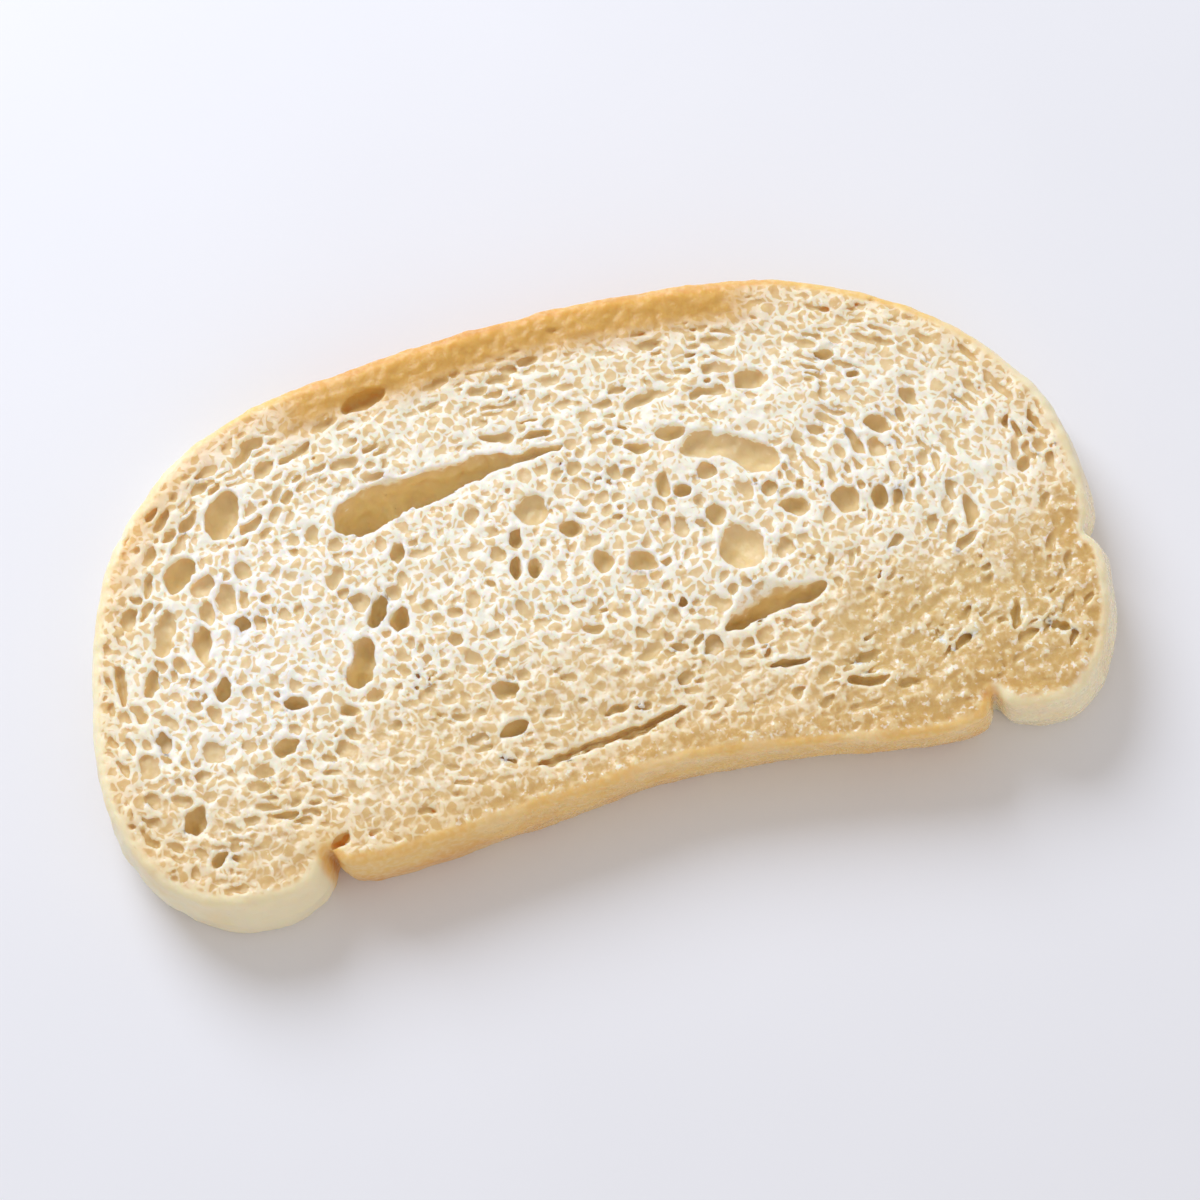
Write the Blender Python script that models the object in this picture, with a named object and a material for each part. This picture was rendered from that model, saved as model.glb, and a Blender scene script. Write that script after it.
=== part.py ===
"""A slice of white bread, cut across a rounded loaf and lying flat on its cut face.

The slice is longest along X, its domed crust faces +Y and its thickness runs up +Z from the
surface it rests on. The two lower corners of the loaf bulged past its base while it baked, so
the outline has a round nib at each end of the base, with a notch beside it.
"""

import math
import random

import bmesh
import bpy
from mathutils import Vector, noise

MM = 0.001

# Driving dimensions: the whole slice, its crust's bulge included
LENGTH = 137 * MM
HEIGHT = 73 * MM
THICKNESS = 12 * MM

# Outline of the upper cut face, counter-clockwise, in millimetres from the middle of the slice.
# The third number is how far the loaf's side leans out by the time it reaches the lower face.
BASE = [
    (-40.6, -32.2, 0.2),
    (-34.5, -32.9, 0.4),
    (-21.3, -31.9, 0.3),
    (-6.1, -30.8, 0.0),
    (4.6, -30.4, -0.3),
    (17.0, -32.0, -0.6),
    (29.3, -34.4, -0.9),
    (38.1, -35.8, -0.9),
    (43.2, -35.0, -0.6),
]
BASE_RIGHT_NOTCH = (45.0, -31.8, 0.0)
RIGHT_NIB = [
    (46.9, -34.5, 0.0),
    (50.8, -35.3, 0.5),
    (54.8, -34.9, 0.8),
    (59.0, -32.0, 0.9),
    (62.2, -26.6, 0.9),
    (64.0, -20.6, 0.8),
    (64.4, -16.4, 0.7),
]
SIDE_NOTCH = (63.1, -13.8, 0.4)
DOME = [
    (64.7, -10.8, 0.7),
    (65.3, -3.0, 0.9),
    (64.4, 4.6, 0.7),
    (61.4, 11.4, 0.5),
    (53.9, 20.6, 0.3),
    (44.2, 27.5, 0.3),
    (31.6, 32.8, 0.3),
    (13.0, 35.3, 0.3),
    (-3.6, 35.7, 0.3),
    (-20.7, 34.6, 0.3),
    (-37.7, 32.4, 0.3),
    (-49.9, 27.1, 0.3),
    (-60.0, 17.0, 0.3),
    (-65.6, 3.6, 0.5),
    (-68.0, -9.6, 0.8),
]
LEFT_NIB = [
    (-67.6, -19.0, 1.4),
    (-64.7, -26.6, 2.0),
    (-60.2, -31.3, 2.2),
    (-54.9, -33.8, 2.2),
    (-49.6, -34.3, 1.3),
    (-45.3, -32.9, 0.3),
]
BASE_LEFT_NOTCH = (-42.6, -29.6, 0.0)
NOTCHES = (BASE_RIGHT_NOTCH, SIDE_NOTCH, BASE_LEFT_NOTCH)
STEPS_A_SPAN = 4

# The knife ran a little askew, so the lower face lies further along +X and +Y.
ASKEW = (1.8 * MM, 0.6 * MM)
# The crust's side from the lower face up: share of the thickness, and how far it stands out.
SIDE_PROFILE = [
    (0.0, -0.6 * MM),
    (0.1, 0.1 * MM),
    (0.48, 0.75 * MM),
    (0.92, 0.1 * MM),
    (1.0, -0.35 * MM),
]
NOTCH_REACH = 3.2 * MM
CRUST_LUMP = 0.22 * MM
CRUST_LUMP_SPACING = 6 * MM
SAG = 0.25 * MM
SAG_SPACING = 24 * MM
SPINE_END = 38 * MM
CAP_RINGS = (0.14, 0.45, 0.82)

# The largest gas pores: x, y, length, width, direction in degrees and depth, in millimetres.
LARGE_PORES = [
    (-16.0, 14.5, 32.0, 5.8, 6, 8.0),
    (-25.9, 12.4, 12.0, 6.4, 16, 9.0),
    (21.7, -13.2, 14.4, 3.0, 9, 5.5),
    (19.6, -4.7, 8.4, 7.2, 74, 3.4),
    (22.4, 9.4, 12.0, 6.0, -28, 2.2),
    (-44.7, 17.5, 7.7, 4.6, 53, 3.2),
    (-52.1, 11.0, 6.0, 3.8, 53, 3.2),
    (-22.6, 28.4, 6.9, 2.4, 10, 2.2),
    (-40.0, 25.3, 6.4, 2.4, 28, 1.8),
    (-5.2, 7.7, 5.2, 5.0, 0, 1.8),
    (-0.9, 4.2, 3.2, 2.5, -15, 2.0),
    (-9.2, 1.6, 4.6, 2.0, 75, 2.4),
    (-23.9, 6.7, 2.9, 2.5, 76, 2.0),
    (1.8, -1.7, 3.9, 3.4, 75, 2.4),
    (6.7, -3.2, 3.7, 3.4, -15, 2.2),
    (-28.0, -1.2, 4.9, 3.2, 66, 4.0),
    (-47.0, 5.8, 4.7, 3.7, 67, 1.8),
    (27.4, 18.0, 5.1, 3.3, -15, 2.4),
    (38.0, 18.4, 2.8, 2.1, -30, 2.2),
    (46.8, 10.4, 3.8, 2.0, -50, 2.2),
    (42.1, 7.2, 3.8, 2.8, -50, 2.6),
    (13.9, 19.3, 9.5, 1.9, 11, 1.8),
    (15.1, 13.2, 4.0, 2.5, -15, 1.8),
    (12.3, 6.5, 3.7, 2.4, 74, 2.4),
    (35.2, -1.7, 4.8, 4.0, 73, 1.8),
    (39.5, -2.9, 3.7, 2.4, 73, 2.6),
    (28.2, -1.0, 4.5, 3.1, -15, 2.2),
    (50.2, -7.4, 4.5, 2.1, 63, 2.6),
    (59.0, -3.6, 2.9, 2.2, 72, 2.8),
    (-55.8, 3.2, 7.4, 3.4, 72, 2.0),
    (-51.4, 1.2, 5.5, 2.8, 72, 2.8),
    (-58.9, -2.8, 4.1, 2.1, 72, 2.0),
    (-50.5, -5.8, 4.1, 2.1, 72, 2.2),
    (-32.3, -7.2, 6.8, 4.4, 62, 4.6),
    (-41.4, -10.0, 3.1, 2.3, -15, 2.4),
    (-44.2, -15.4, 3.9, 2.4, -15, 2.6),
    (-57.6, -22.0, 4.7, 3.9, 67, 3.4),
    (-55.8, -27.4, 3.0, 1.9, 6, 1.8),
    (-15.0, -21.0, 4.7, 2.4, 20, 2.6),
    (-15.2, -15.3, 4.1, 3.2, -15, 1.6),
    (21.4, -21.7, 5.7, 1.4, -5, 2.0),
    (51.7, -23.5, 3.9, 1.2, 68, 2.0),
]
# A pore's ellipsoid is centred this share of its depth above the cut face.
PORE_LIFT = 0.15
# A large pore's ellipsoid has more sides and more rings than a small one's.
LARGE_PORE_LENGTH = 5.5 * MM
LARGE_PORE_GRID = (14, 8)
SMALL_PORE_GRID = (8, 4)

# The underside has no pore within this distance of the point that the slice rests on.
REST_SPOT = 3 * MM

# Smaller pores, scattered at random: how many, their range of length, and depth over length.
TOP_PORES = 56
UNDER_PORES = 34
SCATTER_LENGTH = (2.0 * MM, 3.6 * MM)
SCATTER_DEPTH = (0.4, 0.7)
# Width over length, and how much rounder a pore may be where it is far from the crust.
SCATTER_WIDTH = (0.5, 0.65)
FREE_WIDTH = 0.3
SCATTER_SEED = 11
# Pores keep this far from the crust and from each other, and lie along the crust near it.
CRUST_BAND = 4.5 * MM
PORE_GAP = 0.7 * MM
FLOW_REACH = 14 * MM
SCATTER_TRIES = 6000

CRUMB_COLOUR = (0.80, 0.64, 0.40)
CRUMB_ROUGHNESS = 0.85
CRUST_COLOUR = (0.72, 0.42, 0.15)
CRUST_ROUGHNESS = 0.6
CRUMB_SLOT = 0
CRUST_SLOT = 1


def clear_scene():
    for obj in list(bpy.data.objects):
        bpy.data.objects.remove(obj)


def material(name, colour, roughness):
    made = bpy.data.materials.new(name)
    made.use_nodes = True
    shader = made.node_tree.nodes["Principled BSDF"]
    shader.inputs["Base Color"].default_value = (*colour, 1)
    shader.inputs["Roughness"].default_value = roughness
    shader.inputs["Metallic"].default_value = 0
    return made


def key_points():
    """The outline's points as (x, y, lean) in metres."""
    keys = [
        *BASE, BASE_RIGHT_NOTCH, *RIGHT_NIB, SIDE_NOTCH, *DOME, *LEFT_NIB, BASE_LEFT_NOTCH,
    ]
    return [Vector(key) * MM for key in keys]


def spline_point(before, start, end, after, share):
    """A point of the Catmull-Rom curve from start to end."""
    square = share * share
    cube = square * share
    return 0.5 * (
        2 * start
        + (end - before) * share
        + (2 * before - 5 * start + 4 * end - after) * square
        + (3 * start - before - 3 * end + after) * cube
    )


def outline():
    """The smooth closed outline through the key points, each point with its lean as z."""
    keys = key_points()
    count = len(keys)
    return [
        spline_point(
            keys[i - 1], keys[i], keys[(i + 1) % count], keys[(i + 2) % count], step / STEPS_A_SPAN
        )
        for i in range(count)
        for step in range(STEPS_A_SPAN)
    ]


def outward_normals(points):
    """The unit normal of the outline at each point, pointing away from the crumb."""
    normals = []
    for i, point in enumerate(points):
        along = points[(i + 1) % len(points)] - points[i - 1]
        normals.append(Vector((along.y, -along.x, 0)).normalized())
    return normals


def notch_ease(points):
    """How much of the side's bulge each point takes: none in a notch, all of it further off."""
    notches = [Vector(notch[:2]) * MM for notch in NOTCHES]
    eased = []
    for point in points:
        nearest = min((point.xy - notch).length for notch in notches)
        eased.append(min(nearest / NOTCH_REACH, 1))
    return eased


def lump(point, height):
    """The crust's slow unevenness at a point of its side."""
    place = Vector((point.x, point.y, height)) / CRUST_LUMP_SPACING
    return CRUST_LUMP * noise.noise(place)


def sag(x, y):
    """How far the soft upper face lies off the flat at a point."""
    return SAG * noise.noise(Vector((x / SAG_SPACING, y / SAG_SPACING, 0)))


def side_rings(points):
    """The side's rings of points, from the lower face up to the upper one."""
    normals = outward_normals(points)
    eases = notch_ease(points)
    rings = []
    for share, bulge in SIDE_PROFILE:
        ring = []
        for point, normal, ease in zip(points, normals, eases):
            down = 1 - share
            out = point.z * down + (bulge + lump(point, share * THICKNESS)) * ease
            x = point.x + ASKEW[0] * down + normal.x * out
            y = point.y + ASKEW[1] * down + normal.y * out
            z = share * THICKNESS + sag(x, y) * share
            ring.append(Vector((x, y, z)))
        rings.append(ring)
    return rings


def cap_rings(rim):
    """Rings of points that run in from the rim over the upper face to its long middle line."""
    middle = sum((point.y for point in rim)) / len(rim)
    rings = []
    for share in CAP_RINGS:
        ring = []
        for point in rim:
            goal = Vector((max(-SPINE_END, min(SPINE_END, point.x)), middle, 0))
            x = point.x + (goal.x - point.x) * share
            y = point.y + (goal.y - point.y) * share
            ring.append(Vector((x, y, THICKNESS + sag(x, y))))
        rings.append(ring)
    return rings


def loaf_slice(points):
    """The slice before its pores: side rings, upper face in rings, lower face flat."""
    mesh = bmesh.new()
    side = side_rings(points)
    rows = [[mesh.verts.new(point) for point in ring] for ring in side + cap_rings(side[-1])]
    count = len(points)
    for row, (lower, upper) in enumerate(zip(rows, rows[1:])):
        for i in range(count):
            j = (i + 1) % count
            face = mesh.faces.new((lower[i], lower[j], upper[j], upper[i]))
            face.material_index = CRUST_SLOT if row < len(side) - 1 else CRUMB_SLOT
    mesh.faces.new(rows[-1])
    mesh.faces.new(list(reversed(rows[0])))
    bmesh.ops.triangulate(mesh, faces=mesh.faces[:])
    bmesh.ops.recalc_face_normals(mesh, faces=mesh.faces[:])
    data = bpy.data.meshes.new("bread_slice")
    mesh.to_mesh(data)
    mesh.free()
    data.materials.append(material("crumb", CRUMB_COLOUR, CRUMB_ROUGHNESS))
    data.materials.append(material("crust", CRUST_COLOUR, CRUST_ROUGHNESS))
    made = bpy.data.objects.new("bread_slice", data)
    bpy.context.collection.objects.link(made)
    return made


def nearest_crust(x, y, points):
    """Distance from a place on the face to the crust, and the crust's direction there."""
    place = Vector((x, y))
    best = min(range(len(points)), key=lambda i: (points[i].xy - place).length)
    along = points[(best + 1) % len(points)] - points[best - 1]
    return (points[best].xy - place).length, math.atan2(along.y, along.x)


def inside(x, y, points):
    """Whether a place lies within the outline."""
    crossings = 0
    for i, start in enumerate(points):
        end = points[(i + 1) % len(points)]
        if (start.y > y) != (end.y > y):
            if x < start.x + (y - start.y) / (end.y - start.y) * (end.x - start.x):
                crossings += 1
    return crossings % 2 == 1


def large_pores():
    """The listed pores as (x, y, half length, half width, direction, depth) in metres."""
    return [
        (x * MM, y * MM, length * MM / 2, width * MM / 2, math.radians(turn), depth * MM)
        for x, y, length, width, turn, depth in LARGE_PORES
    ]


def scattered_pores(count, taken, points, draw):
    """Smaller pores, clear of the crust and of those already there."""
    found = []
    for _ in range(SCATTER_TRIES):
        if len(found) == count:
            break
        x = draw.uniform(-LENGTH / 2, LENGTH / 2)
        y = draw.uniform(-HEIGHT / 2, HEIGHT / 2)
        if not inside(x, y, points):
            continue
        off, turn = nearest_crust(x, y, points)
        if off < CRUST_BAND:
            continue
        freedom = min(off / FLOW_REACH, 1)
        half_length = draw.uniform(*SCATTER_LENGTH) / 2
        slimmest, widest = SCATTER_WIDTH
        half_width = half_length * draw.uniform(slimmest, widest + FREE_WIDTH * freedom)
        turn += draw.uniform(-1, 1) * freedom
        room = half_length + PORE_GAP
        if any(
            math.hypot(x - other[0], y - other[1]) < room + (other[2] + other[3]) / 2
            for other in taken + found
        ):
            continue
        depth = half_length * 2 * draw.uniform(*SCATTER_DEPTH)
        found.append((x, y, half_length, half_width, turn, depth))
    return found


def pore_cutter(pore, level, facing, folder):
    """An ellipsoid that cuts one pore into the face at this level; facing is +1 for the upper."""
    x, y, half_length, half_width, turn, depth = pore
    grid = LARGE_PORE_GRID if half_length * 2 > LARGE_PORE_LENGTH else SMALL_PORE_GRID
    mesh = bmesh.new()
    bmesh.ops.create_uvsphere(mesh, u_segments=grid[0], v_segments=grid[1], radius=1)
    bmesh.ops.scale(mesh, vec=(half_length, half_width, depth), verts=mesh.verts)
    bmesh.ops.triangulate(mesh, faces=mesh.faces[:])
    data = bpy.data.meshes.new("pore")
    mesh.to_mesh(data)
    mesh.free()
    cutter = bpy.data.objects.new("pore", data)
    cutter.location = (x, y, level + facing * PORE_LIFT * depth)
    cutter.rotation_euler = (0, 0, turn)
    cutter.hide_render = True
    cutter.display_type = "WIRE"
    folder.objects.link(cutter)


def cut_pores(body, points):
    """Cuts the pores of both faces out of the slice in one step."""
    folder = bpy.data.collections.new("pores")
    bpy.context.scene.collection.children.link(folder)
    draw = random.Random(SCATTER_SEED)
    large = large_pores()
    for pore in large + scattered_pores(TOP_PORES, large, points, draw):
        level = THICKNESS + sag(pore[0], pore[1])
        pore_cutter(pore, level, 1, folder)
    rest = (0, 0, REST_SPOT, REST_SPOT, 0, 0)
    for pore in scattered_pores(UNDER_PORES, [rest], points, draw):
        pore_cutter(pore, 0, -1, folder)
    cut = body.modifiers.new("pores", "BOOLEAN")
    cut.operation = "DIFFERENCE"
    cut.operand_type = "COLLECTION"
    cut.collection = folder
    cut.solver = "EXACT"
    cut.use_self = True
    bpy.context.view_layer.update()
    graph = bpy.context.evaluated_depsgraph_get()
    finished = bpy.data.meshes.new_from_object(body.evaluated_get(graph))
    body.modifiers.clear()
    body.data = finished
    for cutter in list(folder.objects):
        bpy.data.objects.remove(cutter)
    bpy.data.collections.remove(folder)


def fit(body):
    """Brings the whole slice to its driving dimensions, the middle of its underside at the origin."""
    places = [vertex.co for vertex in body.data.vertices]
    low = Vector([min(place[axis] for place in places) for axis in range(3)])
    high = Vector([max(place[axis] for place in places) for axis in range(3)])
    size = (LENGTH, HEIGHT, THICKNESS)
    for place in places:
        for axis in range(3):
            share = (place[axis] - low[axis]) / (high[axis] - low[axis])
            start = 0 if axis == 2 else -size[axis] / 2
            place[axis] = start + share * size[axis]


def main():
    clear_scene()
    points = outline()
    body = loaf_slice(points)
    cut_pores(body, points)
    fit(body)


main()
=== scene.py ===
"""Dresses the bread slice: open crumb carved at its true size, soft baked crust, table and lights.

The crumb is worked out as a solid field on a fine grid. The outer form comes from the packed
slice, the gas cells are ellipsoids packed against each other with thin walls left between them,
and the field's surface becomes the mesh that stands for the slice.
"""

import math
from functools import partial

import bpy
import numpy as np
from bpy.props import FloatProperty, FloatVectorProperty, IntProperty, PointerProperty
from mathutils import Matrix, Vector


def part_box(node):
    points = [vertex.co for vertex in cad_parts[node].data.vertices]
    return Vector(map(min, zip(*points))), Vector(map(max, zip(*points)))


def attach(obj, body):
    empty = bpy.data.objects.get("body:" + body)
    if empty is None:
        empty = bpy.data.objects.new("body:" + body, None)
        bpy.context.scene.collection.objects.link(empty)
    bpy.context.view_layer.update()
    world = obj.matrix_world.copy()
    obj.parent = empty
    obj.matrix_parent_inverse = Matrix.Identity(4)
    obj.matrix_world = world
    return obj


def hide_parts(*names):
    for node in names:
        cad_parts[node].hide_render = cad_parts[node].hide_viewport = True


bl_info = {
    "name": "Bread Slice",
    "version": (1, 0, 0),
    "blender": (4, 5, 0),
    "location": "3D View > Sidebar > Bread",
    "description": "Builds a slice of white bread with open crumb and a soft crust",
    "category": "Object",
}

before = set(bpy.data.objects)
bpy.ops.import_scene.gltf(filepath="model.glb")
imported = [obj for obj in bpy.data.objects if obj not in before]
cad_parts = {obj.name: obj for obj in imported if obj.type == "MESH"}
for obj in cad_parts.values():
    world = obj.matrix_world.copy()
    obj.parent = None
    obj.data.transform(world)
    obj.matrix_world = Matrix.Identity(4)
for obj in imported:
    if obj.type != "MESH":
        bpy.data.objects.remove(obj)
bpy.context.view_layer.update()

MM = 0.001
NODE = "bread_slice"
PIECE = "bread_slice_crumb_and_crust"
LOW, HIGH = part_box(NODE)
THICKNESS_MM = (HIGH.z - LOW.z) / MM
HALF_LENGTH_MM = (HIGH.x - LOW.x) / 2 / MM
HALF_HEIGHT_MM = (HIGH.y - LOW.y) / 2 / MM

# The grid of the field, in millimetres: the air kept round the slice, and the slabs under the
# two cut faces that hold gas cells, from above the face to the deepest cell.
GRID_MARGIN = 1.75
TOP_SLAB = (-1.0, 9.5)
UNDER_SLAB = (-1.0, 2.5)

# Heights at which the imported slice's outline is read, as shares of its thickness.
SECTION_SHARES = (0.02, 0.1, 0.29, 0.48, 0.7, 0.92, 0.96)
SECTION_STEPS = 2

# The gas pores of the shown face, in millimetres on the slice: x, y, length, width, direction in
# degrees, depth, and how far the widest part lies below the face. A long cavity has several lobes.
LONG_SLIT = [
    (-26.3, 13.3, 9.4, 5.8, 16, 8.0, 1.6),
    (-19.4, 14.5, 16.0, 5.3, 9, 7.2, 1.5),
    (-11.6, 15.7, 11.0, 3.4, 6, 5.2, 1.1),
    (-3.8, 15.7, 9.4, 1.5, -6, 2.4, 0.2),
]
WIDE_HOLLOW = [
    (20.0, 10.6, 9.0, 3.6, -8, 2.2, -0.2),
    (25.0, 7.6, 7.4, 4.8, -38, 2.6, -0.2),
]
LOWER_SLOT = [
    (20.6, -11.6, 9.6, 3.0, 16, 1.0, -0.1),
    (19.0, -13.9, 8.6, 2.4, 14, 5.4, 1.2),
    (24.8, -12.8, 8.4, 2.6, 6, 4.4, 0.8),
]
BASE_CREASE = [
    (-10.4, -26.2, 7.4, 0.7, 4, 1.8, 0.2),
    (-3.6, -25.6, 8.4, 0.7, 5, 2.0, 0.2),
    (3.8, -24.5, 8.0, 0.7, 12, 1.8, 0.2),
]
TWIN_PIT = [
    (-31.4, -5.4, 3.6, 2.6, 60, 4.0, 0.5),
    (-32.6, -8.0, 4.6, 3.6, 50, 4.8, 0.5),
]
SINGLE_PORES = [
    (-44.6, 17.6, 7.6, 4.3, 53, 3.4, 0.2),
    (-52.0, 11.1, 6.0, 3.6, 53, 3.4, 0.3),
    (-56.2, 11.2, 4.4, 1.4, 73, 1.6, 0.0),
    (-22.5, 28.7, 6.8, 2.2, 8, 2.2, 0.2),
    (-39.9, 25.8, 6.4, 2.0, 26, 1.8, 0.0),
    (-5.1, 7.8, 4.8, 4.4, -15, 2.2, 0.0),
    (-8.3, 4.7, 3.1, 2.1, 75, 2.2, 0.0),
    (-0.8, 4.3, 3.1, 2.4, -15, 2.6, 0.2),
    (-23.8, 6.8, 2.8, 2.4, 76, 2.4, 0.1),
    (-9.5, 0.4, 3.8, 1.8, 75, 2.8, 0.2),
    (-7.0, -0.6, 3.2, 2.0, 75, 2.4, 0.2),
    (1.9, -1.6, 3.9, 3.2, 75, 3.0, 0.3),
    (6.8, -3.1, 3.6, 3.2, -15, 2.6, 0.2),
    (-28.2, -0.4, 4.6, 2.6, 66, 4.0, 0.5),
    (-25.7, -2.4, 3.8, 2.6, 76, 3.4, 0.4),
    (-46.9, 5.9, 4.6, 3.6, 67, 2.0, -0.2),
    (-1.8, -10.5, 2.9, 1.3, -15, 1.4, 0.1),
    (27.5, 18.4, 5.0, 3.0, -15, 2.6, 0.2),
    (38.1, 19.3, 2.7, 1.9, -15, 2.2, 0.1),
    (41.2, 15.6, 2.3, 1.7, -15, 2.0, 0.1),
    (47.2, 10.5, 3.8, 1.8, -53, 2.2, 0.1),
    (42.2, 7.5, 3.8, 2.6, -53, 2.8, 0.2),
    (14.0, 19.6, 9.4, 1.7, 11, 1.8, 0.0),
    (15.2, 13.7, 4.0, 2.3, -15, 2.2, 0.1),
    (10.6, 12.5, 4.0, 1.8, -15, 2.0, 0.1),
    (12.4, 6.6, 3.7, 2.2, 74, 2.4, 0.1),
    (14.7, 5.4, 2.4, 2.0, -15, 2.4, 0.1),
    (35.3, -1.6, 4.7, 3.7, 73, 2.4, 0.0),
    (39.6, -2.8, 3.7, 2.2, 73, 2.8, 0.2),
    (28.3, -1.1, 4.4, 2.7, -15, 2.4, 0.0),
    (50.3, -7.3, 4.4, 1.8, 68, 2.0, 0.2),
    (59.4, -3.5, 2.6, 2.0, 60, 1.9, 0.1),
    (62.2, 2.9, 3.9, 1.2, -74, 1.6, 0.0),
    (58.9, 3.5, 2.3, 1.5, 72, 1.8, 0.0),
    (19.7, -4.6, 7.4, 6.4, 74, 3.0, -0.2),
    (10.2, -9.7, 2.0, 1.9, -15, 1.9, 0.1),
    (51.8, -23.4, 3.9, 1.1, 74, 1.6, 0.1),
    (57.6, -26.6, 1.7, 1.6, -15, 1.3, 0.0),
    (-55.7, 3.3, 7.2, 3.2, 72, 2.4, 0.0),
    (-51.5, 1.5, 5.4, 2.8, 74, 3.0, 0.2),
    (-58.8, -2.5, 4.1, 2.0, 76, 2.4, 0.1),
    (-62.7, -2.0, 6.6, 1.4, 84, 2.0, 0.2),
    (-50.4, -5.7, 4.1, 2.0, 72, 3.0, 0.2),
    (-41.3, -9.9, 3.1, 2.1, -15, 2.8, 0.2),
    (-35.4, -12.9, 2.6, 1.6, -15, 2.4, 0.2),
    (-44.1, -15.3, 3.8, 2.2, -10, 3.0, 0.3),
    (-57.8, -22.0, 4.6, 3.4, 67, 3.0, 0.1),
    (-55.7, -27.7, 3.0, 1.8, 6, 2.2, 0.1),
    (-14.9, -21.1, 4.6, 2.0, 20, 2.8, 0.2),
    (-15.1, -15.4, 4.0, 3.0, -15, 1.8, -0.1),
    (21.5, -21.8, 5.6, 1.2, -5, 2.4, 0.2),
    (30.7, -26.7, 5.2, 1.3, -10, 1.6, 0.0),
    (36.2, -28.5, 4.6, 1.2, -5, 1.6, 0.0),
    (-2.1, -21.9, 4.4, 1.2, 6, 1.8, 0.1),
    (-40.3, -29.4, 3.0, 1.5, 26, 2.6, 0.3),
]
CAVITIES = [LONG_SLIT, WIDE_HOLLOW, LOWER_SLOT, BASE_CREASE, TWIN_PIT]
CAVITIES += [[pore] for pore in SINGLE_PORES]


# The slice's colours, in sRGB, each with what it colours.
BREAD_COLOURS = {
    # The wall white is also the painted highlight on the crests and the painted glints.
    "wall_white": ("#FEF9EE", "Dry, torn edges of the cell walls"),
    "crumb_cream": ("#EAD3A6", "Thin skin between the walls of the finest cells"),
    "cell_tan": ("#EAD4A0", "Lining of a shallow cell"),
    # The two deep-cell colours below are painted warm bounce light: lighter and yellower than the
    # crumb.
    "cell_gold": ("#F7E1AA", "Lining of a deep cell"),
    "cell_amber": ("#FFE8B2", "Floor of the deepest cells"),
    "moist_yellow": ("#EBDDB6", "Tint of the moist crumb"),
    "edge_cream": ("#F2DCA8", "Tint of the crumb near the crust"),
    "dense_gold": ("#D6A958", "Close crumb under the dome, on its inner side"),
    "rim_gold": ("#EDBC60", "Close crumb under the dome, beside the crust"),
    "crust_amber": ("#E29A38", "Pores that the oven has toasted at the crust"),
    "crust_pale": ("#FCEBC8", "Crust that is hardly baked"),
    "crust_gold": ("#F0CA7E", "Crust that is lightly baked"),
    "crust_brown": ("#DC9C4E", "Crust that is baked most"),
}


def linear(code):
    """An sRGB hex colour as linear red, green, blue and alpha."""
    channels = [int(code[i : i + 2], 16) / 255 for i in (1, 3, 5)]
    bent = [c / 12.92 if c <= 0.04045 else ((c + 0.055) / 1.055) ** 2.4 for c in channels]
    return (*bent, 1.0)


class ColourSettings(bpy.types.PropertyGroup):
    """Colours of the crumb and the crust."""

    __annotations__ = {
        key: FloatVectorProperty(
            name=key.replace("_", " ").title(), description=meaning, default=linear(code),
            size=4, min=0, max=1, subtype="COLOR",
        )
        for key, (code, meaning) in BREAD_COLOURS.items()
    }


FINE_LENGTH = {"precision": 5, "unit": "LENGTH"}


class SliceSettings(bpy.types.PropertyGroup):
    """Sizes of the slice's fine relief."""

    grid_step: FloatProperty(
        name="Grid Step", description="Spacing of the grid that the crumb is carved on",
        default=0.22 * MM, min=0.1 * MM, **FINE_LENGTH,
    )
    cell_radius: FloatProperty(
        name="Cell Radius", description="Typical radius of a gas cell in the middle of the crumb",
        default=0.56 * MM, min=0.2 * MM, **FINE_LENGTH,
    )
    wall: FloatProperty(
        name="Cell Wall", description="Thickness of the wall left between two gas cells",
        default=0.29 * MM, min=0.1 * MM, **FINE_LENGTH,
    )
    crust_depth: FloatProperty(
        name="Crust Depth", description="Thickness of the close, coloured crust",
        default=1.5 * MM, min=0.2 * MM, **FINE_LENGTH,
    )
    triangles: IntProperty(
        name="Triangles", description="The finished mesh is thinned to about this many triangles",
        default=420000, min=20000, max=2000000,
    )
    seed: IntProperty(
        name="Seed", description="Seed of every random draw in the crumb", default=5, min=0,
    )


class StageSettings(bpy.types.PropertyGroup):
    """Camera and lights, taken from the photograph's viewing angle."""

    elevation: FloatProperty(
        name="Elevation", description="Height of the camera over the table, as an angle",
        default=math.radians(70), subtype="ANGLE",
    )
    azimuth: FloatProperty(
        name="Azimuth", description="Turn of the camera about the vertical",
        default=math.radians(-15.4), subtype="ANGLE",
    )
    distance: FloatProperty(
        name="Distance", description="Distance from the camera to the slice",
        default=0.45, min=0.1, unit="LENGTH",
    )
    view_angle: FloatProperty(
        name="View Angle", description="Angle that the whole square frame covers",
        default=math.radians(20), subtype="ANGLE",
    )
    aim: FloatVectorProperty(
        name="Aim", description="Point in the middle of the frame",
        default=(0.6 * MM, -4.9 * MM, 6 * MM), subtype="XYZ", unit="LENGTH",
    )


def ramp(value, start, end):
    """Smooth step from 0 at start to 1 at end."""
    share = np.clip((value - start) / (end - start), 0, 1)
    return share * share * (3 - 2 * share)


class Grid:
    """The regular grid that holds the field, its places in millimetres."""

    def __init__(self, step):
        self.step = step
        below = math.ceil(-min(TOP_SLAB[0], UNDER_SLAB[0]) / step)
        inside = round(THICKNESS_MM / step)
        self.low = np.array([
            -HALF_LENGTH_MM - GRID_MARGIN, -HALF_HEIGHT_MM - GRID_MARGIN, -below * step,
        ])
        spans = (2 * (HALF_LENGTH_MM + GRID_MARGIN), 2 * (HALF_HEIGHT_MM + GRID_MARGIN))
        self.shape = (
            math.ceil(spans[0] / step) + 1, math.ceil(spans[1] / step) + 1, inside + 2 * below + 1,
        )

    def axis(self, number):
        places = self.low[number] + np.arange(self.shape[number]) * self.step
        return places.astype(np.float32)


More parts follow.
